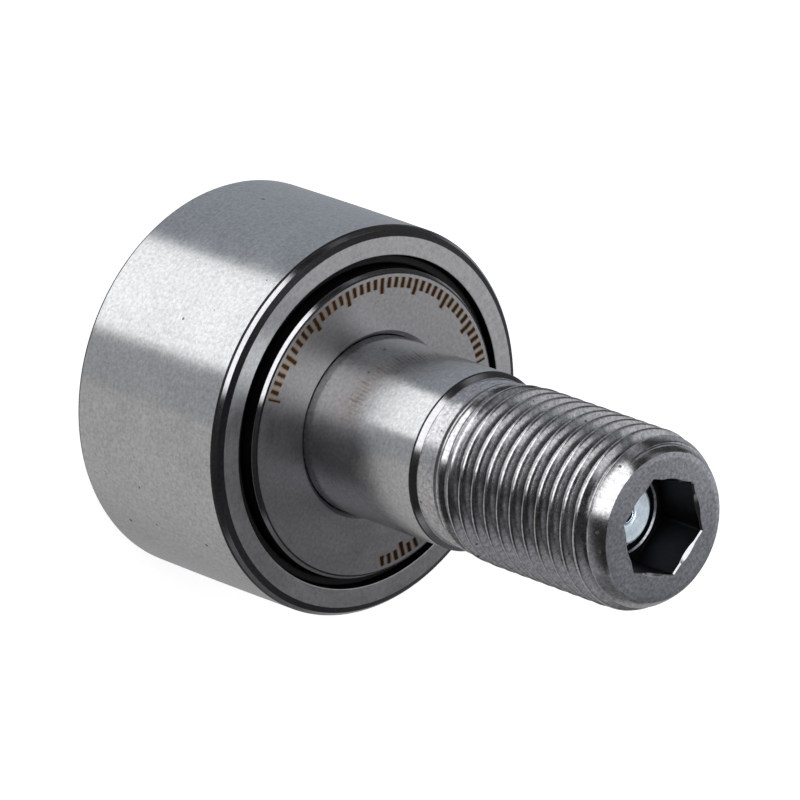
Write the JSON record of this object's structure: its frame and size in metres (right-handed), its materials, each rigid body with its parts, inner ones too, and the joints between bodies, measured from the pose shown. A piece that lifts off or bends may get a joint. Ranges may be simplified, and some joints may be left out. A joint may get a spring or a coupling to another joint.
{
  "type": "cam follower",
  "caption": "Stud-type track roller: a crowned steel ring runs on caged needles round a threaded stud, with a thrust washer and a grease nipple.",
  "frame": {"origin": "centre of the head's outer face, on the stud's axis, which is also the bottom centre of the bounding box", "axes": "+Z along the stud from the head to the threaded end; two corners of each hexagon socket lie on the X axis"},
  "size_m": [0.022, 0.022, 0.036],
  "materials": {
    "stud": "ground, with a darker matte end face",
    "washer": "fine matte, with darker laser marks",
    "ring": "satin, ground round its outside",
    "seal": "matte",
    "nipple": "bright zinc plating",
    "spring": "drawn wire",
    "ball": "polished",
    "cage": "satin, pressed",
    "needle": "polished"
  },
  "bodies": {
    "stud": {"stud": "stud", "thrust_washer": "washer", "nipple_body": "nipple", "nipple_spring": "spring"},
    "roller": {"outer_ring": "ring", "seal_ring_head": "seal", "seal_ring_stud": "seal"},
    "cage": {"needle_cage": "cage"},
    "nipple_ball": {"nipple_ball": "ball"},
    "needle_01": {"needle_01": "needle"},
    "needle_02": {"needle_02": "needle"},
    "needle_03": {"needle_03": "needle"},
    "needle_04": {"needle_04": "needle"},
    "needle_05": {"needle_05": "needle"},
    "needle_06": {"needle_06": "needle"},
    "needle_07": {"needle_07": "needle"},
    "needle_08": {"needle_08": "needle"},
    "needle_09": {"needle_09": "needle"},
    "needle_10": {"needle_10": "needle"},
    "needle_11": {"needle_11": "needle"},
    "needle_12": {"needle_12": "needle"},
    "needle_13": {"needle_13": "needle"},
    "needle_14": {"needle_14": "needle"}
  },
  "joints": [
    {"name": "roller_spin", "type": "hinge", "parent": "stud", "child": "roller", "pos_m": [0, 0, 0.0065], "axis": [0, 0, 1], "continuous": true},
    {"name": "cage_spin", "type": "hinge", "parent": "stud", "child": "cage", "pos_m": [0, 0, 0.0065], "axis": [0, 0, 1], "continuous": true},
    {"name": "nipple_ball_slide", "type": "slide", "parent": "stud", "child": "nipple_ball", "axis": [0, 0, -1], "range_m": [0, 0.0004], "stiffness_N_per_m": 200, "springref_m": -0.001, "deforming": ["nipple_spring"]},
    {"name": "needle_01_spin", "type": "hinge", "parent": "cage", "child": "needle_01", "pos_m": [0.007, 0, 0.0065], "axis": [0, 0, 1], "continuous": true},
    {"name": "needle_02_spin", "type": "hinge", "parent": "cage", "child": "needle_02", "pos_m": [0.00631, 0.00304, 0.0065], "axis": [0, 0, 1], "continuous": true},
    {"name": "needle_03_spin", "type": "hinge", "parent": "cage", "child": "needle_03", "pos_m": [0.00436, 0.00547, 0.0065], "axis": [0, 0, 1], "continuous": true},
    {"name": "needle_04_spin", "type": "hinge", "parent": "cage", "child": "needle_04", "pos_m": [0.00156, 0.00682, 0.0065], "axis": [0, 0, 1], "continuous": true},
    {"name": "needle_05_spin", "type": "hinge", "parent": "cage", "child": "needle_05", "pos_m": [-0.00156, 0.00682, 0.0065], "axis": [0, 0, 1], "continuous": true},
    {"name": "needle_06_spin", "type": "hinge", "parent": "cage", "child": "needle_06", "pos_m": [-0.00436, 0.00547, 0.0065], "axis": [0, 0, 1], "continuous": true},
    {"name": "needle_07_spin", "type": "hinge", "parent": "cage", "child": "needle_07", "pos_m": [-0.00631, 0.00304, 0.0065], "axis": [0, 0, 1], "continuous": true},
    {"name": "needle_08_spin", "type": "hinge", "parent": "cage", "child": "needle_08", "pos_m": [-0.007, 0, 0.0065], "axis": [0, 0, 1], "continuous": true},
    {"name": "needle_09_spin", "type": "hinge", "parent": "cage", "child": "needle_09", "pos_m": [-0.00631, -0.00304, 0.0065], "axis": [0, 0, 1], "continuous": true},
    {"name": "needle_10_spin", "type": "hinge", "parent": "cage", "child": "needle_10", "pos_m": [-0.00436, -0.00547, 0.0065], "axis": [0, 0, 1], "continuous": true},
    {"name": "needle_11_spin", "type": "hinge", "parent": "cage", "child": "needle_11", "pos_m": [-0.00156, -0.00682, 0.0065], "axis": [0, 0, 1], "continuous": true},
    {"name": "needle_12_spin", "type": "hinge", "parent": "cage", "child": "needle_12", "pos_m": [0.00156, -0.00682, 0.0065], "axis": [0, 0, 1], "continuous": true},
    {"name": "needle_13_spin", "type": "hinge", "parent": "cage", "child": "needle_13", "pos_m": [0.00436, -0.00547, 0.0065], "axis": [0, 0, 1], "continuous": true},
    {"name": "needle_14_spin", "type": "hinge", "parent": "cage", "child": "needle_14", "pos_m": [0.00631, -0.00304, 0.0065], "axis": [0, 0, 1], "continuous": true}
  ],
  "couplings": [
    {"joint": "cage_spin", "follows": "roller_spin", "ratio": 0.57143},
    {"joint": "needle_01_spin", "follows": "roller_spin", "ratio": 3.4286},
    {"joint": "needle_02_spin", "follows": "roller_spin", "ratio": 3.4286},
    {"joint": "needle_03_spin", "follows": "roller_spin", "ratio": 3.4286},
    {"joint": "needle_04_spin", "follows": "roller_spin", "ratio": 3.4286},
    {"joint": "needle_05_spin", "follows": "roller_spin", "ratio": 3.4286},
    {"joint": "needle_06_spin", "follows": "roller_spin", "ratio": 3.4286},
    {"joint": "needle_07_spin", "follows": "roller_spin", "ratio": 3.4286},
    {"joint": "needle_08_spin", "follows": "roller_spin", "ratio": 3.4286},
    {"joint": "needle_09_spin", "follows": "roller_spin", "ratio": 3.4286},
    {"joint": "needle_10_spin", "follows": "roller_spin", "ratio": 3.4286},
    {"joint": "needle_11_spin", "follows": "roller_spin", "ratio": 3.4286},
    {"joint": "needle_12_spin", "follows": "roller_spin", "ratio": 3.4286},
    {"joint": "needle_13_spin", "follows": "roller_spin", "ratio": 3.4286},
    {"joint": "needle_14_spin", "follows": "roller_spin", "ratio": 3.4286}
  ]
}
